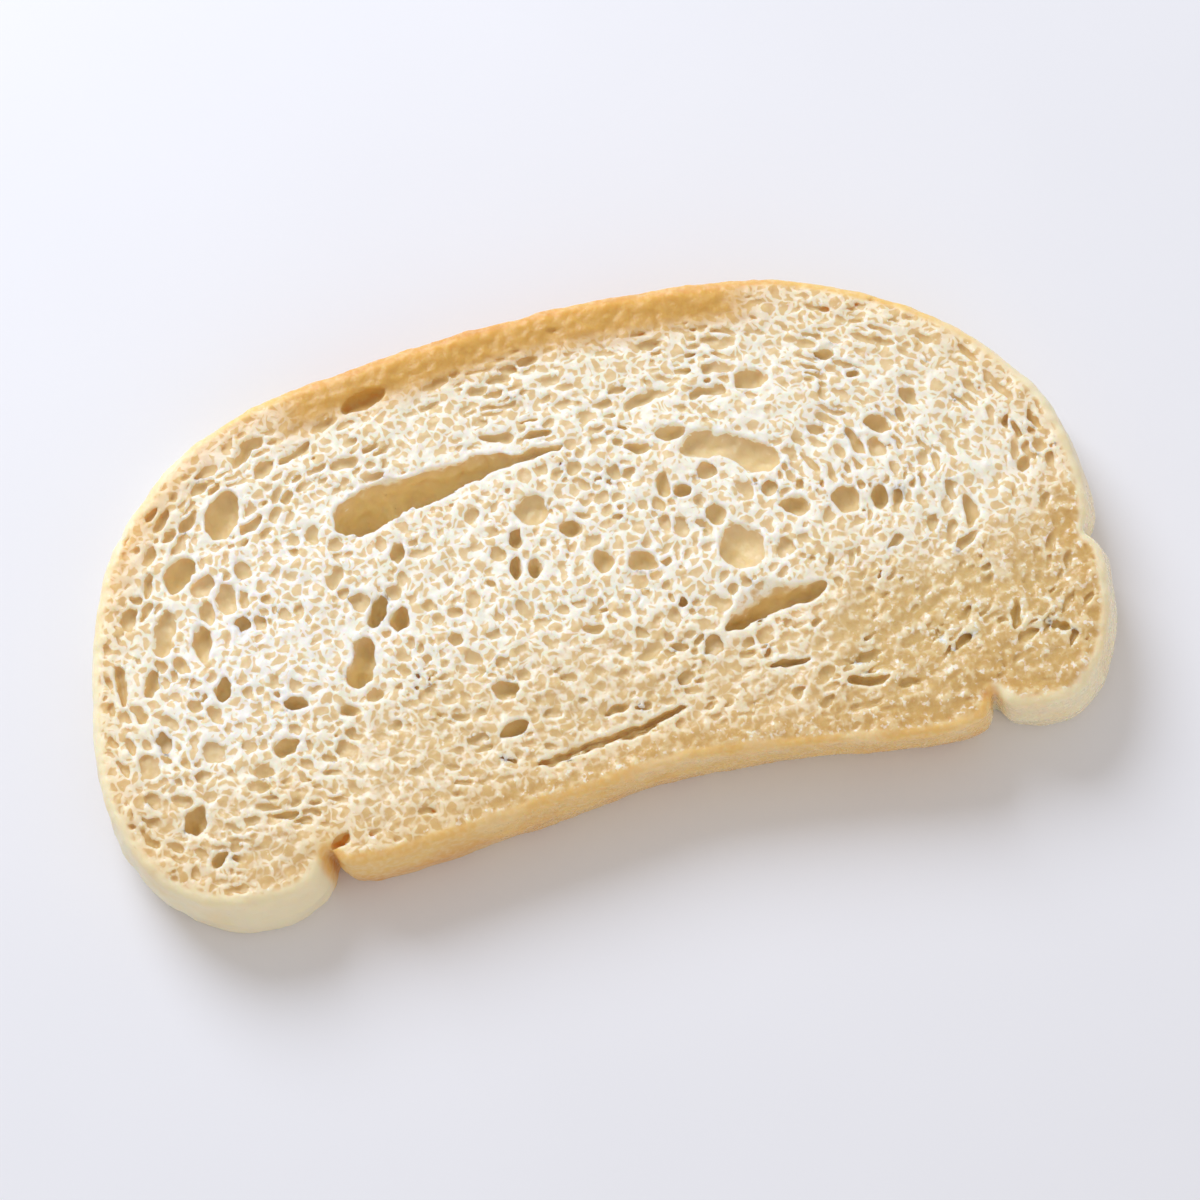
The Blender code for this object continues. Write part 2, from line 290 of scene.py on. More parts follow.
def spline_table(count, step, spacing):
    """Weights that read a coarse row of random numbers smoothly at each step of a fine one."""
    place = np.arange(count) * step / spacing
    base = np.floor(place).astype(int)
    t = place - base
    table = np.zeros((count, base.max() + 4), np.float32)
    rows = np.arange(count)
    table[rows, base] = (1 - t) ** 3 / 6
    table[rows, base + 1] = (3 * t**3 - 6 * t**2 + 4) / 6
    table[rows, base + 2] = (-3 * t**3 + 3 * t**2 + 3 * t + 1) / 6
    table[rows, base + 3] = t**3 / 6
    return table


# The spline smooths the random numbers, and this brings their spread back in a plan or a block.
NOISE_GAIN = {2: 1.7, 3: 2.4}


def soft_noise(shape, step, spacing, seed):
    """A smooth random field, mostly within -1 and 1, with bumps this far apart along each axis."""
    spacings = spacing if isinstance(spacing, tuple) else (spacing,) * len(shape)
    tables = [spline_table(n, step, gap) for n, gap in zip(shape, spacings)]
    field = np.random.default_rng(seed).uniform(-1, 1, [table.shape[1] for table in tables])
    field = field.astype(np.float32)
    for table in tables:
        field = np.moveaxis(np.tensordot(table, field, axes=(1, 0)), 0, -1)
    return np.ascontiguousarray(field * NOISE_GAIN[len(shape)])


def points_of(mesh):
    points = np.empty(len(mesh.vertices) * 3, np.float32)
    mesh.vertices.foreach_get("co", points)
    return points.reshape(-1, 3)


def section(node, height):
    """The outer loop of a level cut through the node, as an array of points in metres."""
    mesh = node.data
    mesh.calc_loop_triangles()
    corners = np.empty(len(mesh.loop_triangles) * 3, np.int32)
    mesh.loop_triangles.foreach_get("vertices", corners)
    triangles = points_of(mesh)[corners.reshape(-1, 3)]
    above = triangles[:, :, 2] > height
    crossing = triangles[above.any(axis=1) & ~above.all(axis=1)]
    neighbours = {}
    for triangle in crossing:
        ends = []
        for a, b in ((0, 1), (1, 2), (2, 0)):
            start, end = triangle[a], triangle[b]
            if (start[2] > height) != (end[2] > height):
                if start[2] > end[2]:
                    start, end = end, start
                place = start + (end - start) * ((height - start[2]) / (end[2] - start[2]))
                ends.append((round(float(place[0]), 6), round(float(place[1]), 6)))
        if ends[0] != ends[1]:
            neighbours.setdefault(ends[0], []).append(ends[1])
            neighbours.setdefault(ends[1], []).append(ends[0])
    loops = []
    while neighbours:
        loop = [next(iter(neighbours))]
        while True:
            onward = [p for p in neighbours.pop(loop[-1]) if p in neighbours]
            if not onward:
                break
            loop.append(onward[0])
        loops.append(np.array(loop))
    return rounded(max(loops, key=lambda loop: abs(loop_area(loop))))


def rounded(loop):
    """Cuts the corners of a closed loop twice, which turns its straight runs into a curve."""
    for _ in range(2):
        after = np.roll(loop, -1, axis=0)
        loop = np.stack((0.75 * loop + 0.25 * after, 0.25 * loop + 0.75 * after), axis=1)
        loop = loop.reshape(-1, 2)
    return loop


def loop_area(loop):
    after = np.roll(loop, -1, axis=0)
    return float((loop[:, 0] * after[:, 1] - loop[:, 1] * after[:, 0]).sum() / 2)


def distance_to(loop, xs, ys):
    """Distance of each grid place from the loop, negative inside it."""
    px, py = np.meshgrid(xs, ys, indexing="ij")
    nearest = np.full(px.shape, np.inf, np.float32)
    within = np.zeros(px.shape, bool)
    for (ax, ay), (bx, by) in zip(loop, np.roll(loop, -1, axis=0)):
        ex, ey = bx - ax, by - ay
        dx, dy = px - ax, py - ay
        share = np.clip((dx * ex + dy * ey) / (ex * ex + ey * ey), 0, 1)
        nearest = np.minimum(nearest, (dx - share * ex) ** 2 + (dy - share * ey) ** 2)
        if ay != by:
            within ^= ((ay > py) != (by > py)) & (dx < dy * ex / ey)
    return np.sqrt(nearest) * np.where(within, -1, 1)


def stretch_rows(coarse, count, every):
    """Reads a coarse array along its first axis at each of count finer places."""
    place = np.arange(count) / every
    base = np.minimum(place.astype(int), len(coarse) - 2)
    share = (place - base).astype(np.float32)[:, None]
    return coarse[base] * (1 - share) + coarse[base + 1] * share


def outline_distances(grid):
    """For each section height, the distance to the slice's side over the grid's plan."""
    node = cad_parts[NODE]
    every = SECTION_STEPS
    xs = grid.low[0] + np.arange(math.ceil(grid.shape[0] / every) + 1) * grid.step * every
    ys = grid.low[1] + np.arange(math.ceil(grid.shape[1] / every) + 1) * grid.step * every
    layers = []
    for share in SECTION_SHARES:
        loop = section(node, LOW.z + share * THICKNESS_MM * MM) / MM
        coarse = distance_to(loop, xs, ys).astype(np.float32)
        tall = stretch_rows(coarse, grid.shape[0], every)
        layers.append(stretch_rows(tall.T.copy(), grid.shape[1], every).T.copy())
    return layers


def side_field(grid, layers):
    """Distance outside the crust at every place of the grid, in millimetres."""
    heights = [share * THICKNESS_MM for share in SECTION_SHARES]
    field = np.empty(grid.shape, np.float32)
    for k, z in enumerate(grid.axis(2)):
        lower = max(i for i in range(len(heights) - 1) if i == 0 or heights[i] <= z)
        share = (z - heights[lower]) / (heights[lower + 1] - heights[lower])
        share = min(max(share, -1.0), 2.5)
        field[:, :, k] = layers[lower] * (1 - share) + layers[lower + 1] * share
    return field


# Where the crumb changes, each as the span in millimetres over which a region sets in: along the
# slice (X), from its middle to the left, up to the dome or down to the base, and in from the crust.
SOAKED_X, SOAKED_DOWN = (0, 44), (0, 22)
SOAKED_END_X, SOAKED_END_DOWN = (52, 62), (0, 12)
WARM_X, WARM_LOW_X, WARM_LOW_DOWN = (-46, -20), (-50, -34), (6, 18)
BAND_START_X, BAND_END_X, BAND_UP = (-38, -30), (26, 34), (4, 12)
BAND_CLOSE_IN, BAND_GOLD_IN = (4.8, 7.6), (5.0, 9.4)
SHOULDER_UP, SHOULDER_IN = (4, 16), (2.0, 6.6)
SOLE_START_X, SOLE_END_X, SOLE_DOWN, SOLE_IN = (-34, -16), (40, 46), (12, 18), (2.8, 5.2)
LEFT_NIB_LEFT, LEFT_NIB_DOWN = (34, 46), (10, 22)
RIGHT_NIB_X, RIGHT_NIB_DOWN = (42, 52), (4, 12)
LEFT_X, FAR_LEFT, RIGHT_X = (-48, -38), (30, 44), (24, 46)
UPPER_UP, LOWER_DOWN = (14, 20), (15, 22)
RIM_IN, NEAR_IN = (1.6, 4.8), (6, 22)

# The depth from the crust over which the crumb's direction and colour turn to those of the middle.
HUG_DEPTH, NEAR_DEPTH = 4, 5

# The row of painted glints along the base, as its depth from the crust and its width, and the smooth
# flap over the lower slot, painted white as a highlight, as its place, its slope and how far it
# spreads along and across.
GLINT_ROW = (1.9, 1.5)
FLAP_PLACE, FLAP_SLOPE, FLAP_SPREAD = (20.4, -10.6), 0.28, (4.6, 1.5)


class Plan:
    """What changes over the cut face: depth from the crust, direction of the crumb, its regions."""

    def __init__(self, grid, layers, seed):
        x = grid.axis(0)[:, None]
        y = grid.axis(1)[None, :]
        shape = grid.shape[:2]
        self.off = -layers[3]
        self.turn = self.direction(x, y)
        wander = soft_noise(shape, grid.step, 9.0, seed + 50)
        patch = soft_noise(shape, grid.step, 5.0, seed + 51)
        spots = soft_noise(shape, grid.step, 6.0, seed + 52)
        off = self.off + 0.8 * wander

        band = ramp(x, *BAND_START_X) * (1 - ramp(x, *BAND_END_X)) * ramp(y, *BAND_UP)
        dense = band * (1 - ramp(off, *BAND_CLOSE_IN))
        shoulder = ramp(y, *SHOULDER_UP) * (1 - ramp(x, *BAND_START_X))
        shoulder = shoulder * (1 - ramp(off, *SHOULDER_IN))
        self.gold = np.maximum(band * (1 - ramp(off, *BAND_GOLD_IN)), 0.32 * shoulder)
        low = ramp(x, *SOLE_START_X) * (1 - ramp(x, *SOLE_END_X)) * ramp(-y, *SOLE_DOWN)
        sole = low * (1 - ramp(off, *SOLE_IN))

        soaked = ramp(x + 8 * wander, *SOAKED_X) * ramp(-y + 6 * wander, *SOAKED_DOWN)
        end = ramp(x + 2 * wander, *SOAKED_END_X) * ramp(-y + wander, *SOAKED_END_DOWN)
        warm = 0.15 * ramp(x, *WARM_X) + 0.4 * ramp(-y, *WARM_LOW_DOWN) * ramp(x, *WARM_LOW_X)
        nib = 0.5 * ramp(-y + wander, *LEFT_NIB_DOWN) * ramp(-x + wander, *LEFT_NIB_LEFT)
        self.moist = np.maximum.reduce(np.broadcast_arrays(soaked, end, warm, 0.8 * sole, nib))

        self.closed = ramp(spots, 0.0, 0.9) * (1 - 0.6 * ramp(-x, *FAR_LEFT))
        rim = 1 - ramp(off, *RIM_IN)
        nub = ramp(x + 2 * wander, *RIGHT_NIB_X) * ramp(-y + wander, *RIGHT_NIB_DOWN)
        self.left = 1 - ramp(x + 5 * wander, *LEFT_X)
        self.right = ramp(x + 5 * wander, *RIGHT_X)
        upper = ramp(y + 3 * wander, *UPPER_UP)
        lower = ramp(-y + 3 * wander, *LOWER_DOWN)
        size = 1.04 + 0.26 * patch - 0.05 * self.right + 0.12 * self.left
        size = size - 0.04 * lower - 0.05 * self.moist
        self.size = np.maximum(size * (1 - 0.4 * rim) * (1 - 0.4 * dense), 0.5)
        self.chance = (1 - 0.85 * dense) * (1 - 0.4 * rim) * (1 - 0.7 * sole) * (1 - 0.4 * nub)
        self.growth = (1 - 0.8 * dense) * (1 - 0.5 * sole) * (1 - 0.3 * self.closed)
        self.growth = self.growth * (1 - 0.3 * self.moist) * (1 - 0.4 * rim)
        hugging = 1 - ramp(off, *NEAR_IN)
        self.stretch = 1.15 + 0.7 * hugging + 1.8 * upper + 1.0 * lower
        self.stretch = self.stretch + 1.5 * self.right * (1 - 0.7 * nub)
        self.near = np.exp(-np.maximum(off, 0) / NEAR_DEPTH)
        self.spark = self.glints(x, y, low, off)

    def direction(self, x, y):
        """The way that the cells lie: along the crust beside it, and round an oval farther in."""
        slope_x, slope_y = np.gradient(self.off)
        oval_x = -x / HALF_LENGTH_MM**2 + 0 * y
        oval_y = -y / HALF_HEIGHT_MM**2 + 0 * x
        beside = np.exp(-np.maximum(self.off, 0) / HUG_DEPTH)
        hug = beside / (np.hypot(slope_x, slope_y) + 1e-6)
        free = (1 - beside) / (np.hypot(oval_x, oval_y) + 1e-6)
        return np.arctan2(-(hug * slope_x + free * oval_x), hug * slope_y + free * oval_y)

    def glints(self, x, y, low, off):
        """Where the painted white glints on the torn edges go, most of all on the moist crumb and
        the flap.
        """
        row = low * np.exp(-(((off - GLINT_ROW[0]) / GLINT_ROW[1]) ** 2))
        spark = np.clip(0.6 * self.moist + 0.5 * self.right + row, 0, 1) * (1 - self.gold)
        # The smooth flap over the lower slot is painted white as a strong highlight.
        along = (x - FLAP_PLACE[0]) / FLAP_SPREAD[0]
        across = (y - FLAP_PLACE[1] - FLAP_SLOPE * (x - FLAP_PLACE[0])) / FLAP_SPREAD[1]
        return spark + 2.0 * np.exp(-(along**2) - across**2) - 0.6 * self.gold


# The cells are packed in stages, large ones first: share of the typical radius, spread, tries.
CELL_STAGES = ((1.7, 0.18, 450), (1.12, 0.22, 8000), (0.7, 0.2, 50000), (0.44, 0.2, 130000))

# In millimetres, how far two lobes of one cavity flow into each other, how far a packed cell and a
# placed one swell, and the limits of a packed cell's radius.
LOBE_BLEND = 1.6
SWELLING, CAVITY_SWELLING = 0.24, 0.1
RADIUS_LIMITS = (0.16, 1.5)

# The middle of a packed cell, from above the face to under it, as shares of the cell's height.
MIDDLE_LIMITS = (-0.75, 0.42)

# How the cells are bent out of true: distance and spacing in millimetres, and a number that sets
# their draw apart.
CELL_BENDS = ((0.23, 0.85, 0), (0.42, 2.6, 10))


class Foam:
    """Gas cells in the slab under one cut face. Its third axis runs down into the crumb."""

    def __init__(self, grid, plan, slab, seed):
        self.grid = grid
        self.plan = plan
        self.low_depth = slab[0]
        count = round((slab[1] - slab[0]) / grid.step) + 1
        self.shape = (grid.shape[0], grid.shape[1], count)
        self.nearest = np.full(self.shape, 9.0, np.float32)
        self.second = np.full(self.shape, 9.0, np.float32)
        xs = grid.axis(0)[:, None, None]
        ys = grid.axis(1)[None, :, None]
        ds = (slab[0] + np.arange(count) * grid.step).astype(np.float32)[None, None, :]
        self.places = []
        for number, line in enumerate((xs, ys, ds)):
            bend = sum(
                size * soft_noise(self.shape, grid.step, spacing, seed + offset + number)
                for size, spacing, offset in CELL_BENDS
            )
            self.places.append(bend + line)

    def index(self, x, y, depth):
        place = (x - self.grid.low[0], y - self.grid.low[1], depth - self.low_depth)
        return [int(round(p / self.grid.step)) for p in place]

    def add(self, lobes, swell, reach=1.0):
        """Adds one cell made of lobes, each an ellipsoid as place, radii and turn in the plan.

        The cell swells past its radii until it meets the wall towards a neighbour.
        """
        step = self.grid.step
        window = []
        for axis in range(3):
            lows, highs = [], []
            for place, radii, _ in lobes:
                middle = self.index(*place)[axis]
                span = radii[2] if axis == 2 else max(radii[0], radii[1])
                half = math.ceil((span + reach) / step) + 1
                lows.append(middle - half)
                highs.append(middle + half + 1)
            window.append(slice(max(min(lows), 0), min(max(highs), self.shape[axis])))
        window = tuple(window)
        if any(part.start >= part.stop for part in window):
            return
        px, py, pz = (line[window] for line in self.places)
        distance = None
        for (x, y, depth), radii, turn in lobes:
            dx, dy, dz = px - x, py - y, (pz - depth) / radii[2]
            cosine, sine = math.cos(turn), math.sin(turn)
            along = (dx * cosine + dy * sine) / radii[0]
            across = (dy * cosine - dx * sine) / radii[1]
            reached = np.sqrt(along * along + across * across + dz * dz)
            steep = np.sqrt(
                (along / radii[0]) ** 2 + (across / radii[1]) ** 2 + (dz / radii[2]) ** 2
            )
            lobe = reached * (reached - 1) / np.maximum(steep, 1e-4)
            distance = lobe if distance is None else -soft_max(-distance, -lobe, LOBE_BLEND)
        distance = distance - swell
        nearest = self.nearest[window]
        second = self.second[window]
        np.minimum(second, np.maximum(nearest, distance), out=second)
        np.minimum(nearest, distance, out=nearest)

    def fill(self, radius, spread, tries, draw, sunk):
        """Packs cells of about this radius along the face, which lies sunk this deep."""
        plan = self.plan
        xs = draw.uniform(self.grid.low[0], -self.grid.low[0], tries)
        ys = draw.uniform(self.grid.low[1], -self.grid.low[1], tries)
        heights = draw.uniform(*MIDDLE_LIMITS, tries)
        shares = np.exp(draw.normal(0, spread, tries))
        luck = draw.uniform(0, 1, tries)
        lean = draw.normal(0, 1, tries)
        shapes = draw.uniform(0, 1, (tries, 3))
        i, j = (
            np.clip(np.round((place - low) / self.grid.step).astype(int), 0, count - 1)
            for place, low, count in zip((xs, ys), self.grid.low, self.shape)
        )
        sizes = np.clip(radius * plan.size[i, j] * shares, *RADIUS_LIMITS)
        keep = (plan.off[i, j] > 0.9 + sizes * 0.8) & (luck < plan.chance[i, j])
        for n in np.argsort(-sizes, kind="stable"):
            if not keep[n]:
                continue
            size = float(sizes[n])
            at = (i[n], j[n])
            flat = max(0.25 * float(plan.closed[at]), 0.45 * float(plan.moist[at]))
            tall = size * (0.5 + 0.5 * float(shapes[n, 2]) ** 3) * (1 - flat)
            depth = tall * float(heights[n]) + float(sunk[at])
            a, b, c = self.index(xs[n], ys[n], depth)
            if self.nearest[a, b, c] < 0.62 * size + 0.08:
                continue
            longer = 1 + (float(plan.stretch[at]) - 1) * (0.5 + shapes[n, 0])
            radii = (
                size * math.sqrt(longer) * 1.05,
                size / math.sqrt(longer) * (0.85 + 0.3 * shapes[n, 1]),
                tall,
            )
            turn = float(plan.turn[at]) + 0.4 / longer * float(lean[n])
            swell = SWELLING * min(size / 0.5, 1) * float(plan.growth[at])
            self.add([((xs[n], ys[n], depth), radii, turn)], swell)

    def air(self, wall):
        """The field of the cells: negative in their gas, with a wall kept where two meet."""
        return np.maximum(self.nearest, (wall - (self.second - self.nearest)) / 2)


def soft_max(a, b, blend):
    """The larger of two fields, rounded where they meet."""
    overlap = np.maximum(blend - np.abs(a - b), 0) / blend
    return np.maximum(a, b) + overlap * overlap * blend / 4


def joined_to(layers, part):
    """The places of this part that are joined, face to face, to those in the given layers."""
    reached = np.zeros_like(part)
    for layer in layers:
        reached[:, :, layer] = part[:, :, layer]
    while True:
        grown = reached.copy()
        for k in range(1, part.shape[2]):
            grown[:, :, k] |= grown[:, :, k - 1] & part[:, :, k]
        for k in range(part.shape[2] - 2, -1, -1):
            grown[:, :, k] |= grown[:, :, k + 1] & part[:, :, k]
        grown[1:] |= grown[:-1] & part[1:]
        grown[:-1] |= grown[1:] & part[:-1]
        grown[:, 1:] |= grown[:, :-1] & part[:, 1:]
        grown[:, :-1] |= grown[:, 1:] & part[:, :-1]
        if np.array_equal(grown, reached):
            return reached
        reached = grown


def neighbours_of(part):
    """How many of each place's six neighbours belong to this part."""
    count = np.zeros(part.shape, np.uint8)
    for axis in range(3):
        ahead = np.moveaxis(count, axis, 0)
        along = np.moveaxis(part, axis, 0)
        ahead[1:] += along[:-1]
        ahead[:-1] += along[1:]
    return count


def blurred(field, reach):
    """The field averaged over a box this many grid steps to each side."""
    for axis in range(3):
        field = np.moveaxis(field, axis, 0)
        padded = np.concatenate([field[:1]] * (reach + 1) + [field] + [field[-1:]] * reach)
        total = np.cumsum(padded, axis=0, dtype=np.float32)
        width = 2 * reach + 1
        field = (total[width:] - total[:-width]) / width
        field = np.moveaxis(field, 0, axis)
    return field


def surface_of(field, low, step):
    """The mesh of the field's zero surface: points, and quads that face the positive side."""
    solid = field < 0
    count = sum(
        solid[a : a + solid.shape[0] - 1, b : b + solid.shape[1] - 1, c : c + solid.shape[2] - 1]
        .astype(np.uint8)
        for a in (0, 1) for b in (0, 1) for c in (0, 1)
    )
    cells = np.argwhere((count > 0) & (count < 8))
    number = np.full(count.shape, -1, np.int32)
    number[tuple(cells.T)] = np.arange(len(cells))
    corners = np.array([(a, b, c) for a in (0, 1) for b in (0, 1) for c in (0, 1)])
    values = [field[tuple((cells + corner).T)] for corner in corners]
    total = np.zeros((len(cells), 3), np.float32)
    crossings = np.zeros(len(cells), np.float32)
    for a in range(8):
        for b in range(a + 1, 8):
            if np.abs(corners[a] - corners[b]).sum() != 1:
                continue
            crossing = (values[a] < 0) != (values[b] < 0)
            gap = np.where(crossing, values[a] - values[b], 1)
            share = np.where(crossing, values[a] / gap, 0)[:, None]
            place = corners[a] + share * (corners[b] - corners[a])
            total += np.where(crossing[:, None], place, 0)
            crossings += crossing
    points = low + (cells + total / crossings[:, None]) * step
    quads = []
    for axis in range(3):
        side, up = (axis + 1) % 3, (axis + 2) % 3
        ahead = np.moveaxis(solid, axis, 0)
        edges = np.argwhere(np.moveaxis(ahead[:-1] != ahead[1:], 0, axis))
        edges = edges[(edges[:, side] > 0) & (edges[:, up] > 0)]
        edges = edges[
            (edges[:, side] < solid.shape[side] - 1) & (edges[:, up] < solid.shape[up] - 1)
        ]
        ring = []
        for back_side, back_up in ((1, 1), (0, 1), (0, 0), (1, 0)):
            cell = edges.copy()
            cell[:, side] -= back_side
            cell[:, up] -= back_up
            ring.append(number[tuple(cell.T)])
        quad = np.stack(ring, axis=1)
        outward = solid[tuple(edges.T)]
        quads.append(np.where(outward[:, None], quad, quad[:, ::-1]))
    return points, np.concatenate(quads)


def mesh_from(name, points, quads):
    mesh = bpy.data.meshes.new(name)
    mesh.vertices.add(len(points))
    mesh.vertices.foreach_set("co", np.asarray(points, np.float32).reshape(-1))
    mesh.loops.add(len(quads) * 4)
    mesh.loops.foreach_set("vertex_index", np.asarray(quads, np.int32).reshape(-1))
    mesh.polygons.add(len(quads))
    mesh.polygons.foreach_set("loop_start", np.arange(len(quads), dtype=np.int32) * 4)
    mesh.update(calc_edges=True)
    mesh.validate()
    return mesh


def sampled(field, low, step, points):
    """The field read at each point, by straight interpolation on its grid."""
    place = (points - low) / step
    base = np.clip(place.astype(int), 0, np.array(field.shape) - 2)
    share = np.clip(place - base, 0, 1)
    total = np.zeros(len(points), np.float32)
    for a in (0, 1):
        for b in (0, 1):
            for c in (0, 1):
                weight = np.prod(np.where((a, b, c), share, 1 - share), axis=1)
                total += weight * field[tuple((base + (a, b, c)).T)]
    return total


# Bumps of the crust's side and of the cut face: height and spacing in millimetres, and a number
# that sets their draw apart. Then the slanting ridges of the moist crumb, and how far the face lies
# under the solid's, so that its bumps stay within the slice's height.
SIDE_BUMPS = ((0.12, 1.3, 60), (0.04, 0.6, 59), (0.16, (4.0, 4.0, 7.0), 61))
FACE_BUMPS = ((0.16, 22.0, 62), (0.20, 5.0, 63), (0.17, 1.5, 64), (0.16, 0.6, 66))
RIDGE_SPACING = (2.6, 1.1)
FACE_DROP = 0.3

# How widely the surface rounds, in millimetres: the upper and lower rim, and a cell's mouth.
UPPER_RIM, LOWER_RIM, CELL_MOUTH = 1.5, 0.5, 0.12


def bread_field(settings):
    """Builds the slice's field and everything that its materials read from it."""
    step = settings.grid_step / MM
    grid = Grid(step)
    seed = settings.seed
    layers = outline_distances(grid)
    side = side_field(grid, layers)
    for height, spacing, number in SIDE_BUMPS:
        side += height * soft_noise(grid.shape, step, spacing, seed + number)
    plan = Plan(grid, layers, seed)
    face = np.zeros(grid.shape[:2], np.float32)
    for height, spacing, number in FACE_BUMPS:
        face += height * soft_noise(face.shape, step, spacing, seed + number)
    ridged = np.maximum(plan.moist, 0.7 * plan.right) * (1 - plan.gold)
    face += 0.24 * ridged * soft_noise(face.shape, step, RIDGE_SPACING, seed + 68)
    face -= FACE_DROP

    top = Foam(grid, plan, TOP_SLAB, seed + 100)
    for lobes in CAVITIES:
        shaped = [
            ((x, y, sunk), (length / 2, width / 2, depth - sunk), math.radians(turn))
            for x, y, length, width, turn, depth, sunk in lobes
        ]
        top.add(shaped, CAVITY_SWELLING, 1.3)
    draw = np.random.default_rng(seed + 1)
    radius = settings.cell_radius / MM
    for share, spread, tries in CELL_STAGES:
        top.fill(share * radius, spread, tries, draw, -face)
    under = Foam(grid, plan, UNDER_SLAB, seed + 200)
    for share, spread, tries in CELL_STAGES[:3]:
        under.fill(share * radius, spread, tries, draw, 0 * face)

    wall = settings.wall / MM
    thick = 1 + 1.0 * soft_noise(top.shape, step, 1.7, seed + 65) + 0.2 * plan.left[:, :, None]
    ragged = 0.10 * (1 - plan.gold[:, :, None])
    top_air = top.air(wall * thick) + ragged * soft_noise(top.shape, step, 0.6, seed + 67)
    under_air = under.air(wall * 1.5)

    z = grid.axis(2)[None, None, :]
    field = soft_max(side, z - THICKNESS_MM - face[:, :, None], UPPER_RIM)
    field = soft_max(field, -z, LOWER_RIM)
    height = grid.shape[2]
    deep = top.shape[2]
    cells = np.full(grid.shape, 9.0, np.float32)
    cells[:, :, height - deep :] = top_air[:, :, ::-1]
    shallow = under.shape[2]
    cells[:, :, :shallow] = np.minimum(cells[:, :, :shallow], under_air)
    field = soft_max(field, -cells, CELL_MOUTH)

    # Pinholes, closed bubbles and loose crumbs go, and the field is set to the side of zero that
    # they end on.
    air = field > 0
    for _ in range(2):
        air &= neighbours_of(air) > 2
    air = joined_to((0, -1), air)
    crumbs = ~joined_to((height // 2,), ~air) & ~air
    field = np.where(air, np.maximum(field, 0.05 * step), np.minimum(field, -0.4 * step))
    field[crumbs] = step
    return grid, plan, side, face, field


# How readily the shown faces are thinned, beside 1 for the underside.
SHOWN_THINNING = 0.35


def thinned(mesh, wanted, inner):
    """The mesh simplified to about this many triangles, most of all where inner marks it."""
    now = len(mesh.polygons) * 2
    if now <= wanted:
        return mesh
    holder = bpy.data.objects.new("thinning", mesh)
    bpy.context.scene.collection.objects.link(holder)
    even = holder.modifiers.new("evening", "SMOOTH")
    even.factor = 0.4
    even.iterations = 1
    fewer = holder.modifiers.new("thinning", "DECIMATE")
    fewer.ratio = wanted / now
    group = holder.vertex_groups.new(name="thinned")
    hidden = points_of(mesh)[:, 2] < UNDER_SLAB[1] * MM * inner
    group.add(np.flatnonzero(hidden).tolist(), 1.0, "REPLACE")
    group.add(np.flatnonzero(~hidden).tolist(), SHOWN_THINNING, "REPLACE")
    fewer.vertex_group = group.name
    bpy.context.view_layer.update()
    graph = bpy.context.evaluated_depsgraph_get()
    result = bpy.data.meshes.new_from_object(holder.evaluated_get(graph))
    bpy.data.objects.remove(holder)
    return result


def store(mesh, name, values):
    """Keeps one number for each vertex, for the material to read."""
    attribute = mesh.attributes.new(name, "FLOAT", "POINT")
    attribute.data.foreach_set("value", np.asarray(values, np.float32))


def browning(points):
    """How strongly the crust is baked at each point: the dome most, the nibs least.

    Places are in millimetres on the slice. Each notch beside a nib is browned round its corner.
    """
    x, y = points[:, 0], points[:, 1]
    top = ramp(y, 6, 30) * (0.85 - 0.35 * ramp(x, 10, 50)) * (0.1 + 0.9 * ramp(x, -50, -22))
    base = 0.8 * ramp(-y, 20, 28) * ramp(x, -43.5, -41.5) * (1 - ramp(x, 44, 46))
    base = base * (0.55 + 0.45 * ramp(THICKNESS_MM - points[:, 2], 1.5, 7.0))
    base = base * (1 - 0.15 * ramp(x, -30, 0))
    notch = np.maximum(
        1 - np.hypot(x + 41.5, y + 30.5) / 3.5, 1 - np.hypot(x - 44.6, y + 32.5) / 2.4
    )
    return np.clip(np.maximum(np.maximum(top, base), notch) + 0.08, 0, 1)


def node_of(tree, kind, settings, out=0, **links):
    """Adds one shader node and gives one of its outputs.

    Settings go by attribute name. An input is a value or a link, given by its name, or by its
    number after an underscore.
    """
    node = tree.nodes.new(kind)
    for name, value in settings.items():
        setattr(node, name, value)
    for name, value in links.items():
        key = int(name[1:]) if name[1:].isdigit() else name.replace("_", " ")
        socket = node.inputs[key]
        if isinstance(value, bpy.types.NodeSocket):
            tree.links.new(value, socket)
        else:
            socket.default_value = value
    return node.outputs[out] if node.outputs else None


# The depth in millimetres at which the painted warm bounce light in a cell's lining is at its
# fullest.
DEEPEST = 8.0

# Settings and outputs that several nodes share.
ATTRIBUTE, NOISE, RANGE = "ShaderNodeAttribute", "ShaderNodeTexNoise", "ShaderNodeMapRange"
MATH, MIX = "ShaderNodeMath", "ShaderNodeMix"
EASED = {"interpolation_type": "SMOOTHSTEP"}
BLENDED = {"data_type": "RGBA", "blend_type": "MIX"}
TINTED = {"data_type": "RGBA", "blend_type": "MULTIPLY"}
ADDED, TIMES = {"operation": "ADD"}, {"operation": "MULTIPLY"}
TIMES_AND_ADDED = {"operation": "MULTIPLY_ADD"}
MIXED_COLOUR = 2

# What the mesh keeps for the material at each vertex.
MARKS = ("pit", "deep", "rind", "bake", "moist", "near", "gold", "spark")


def per_mm(spacing):
    """The scale of a pattern whose marks are this many millimetres apart."""
    return 1 / (spacing * MM)


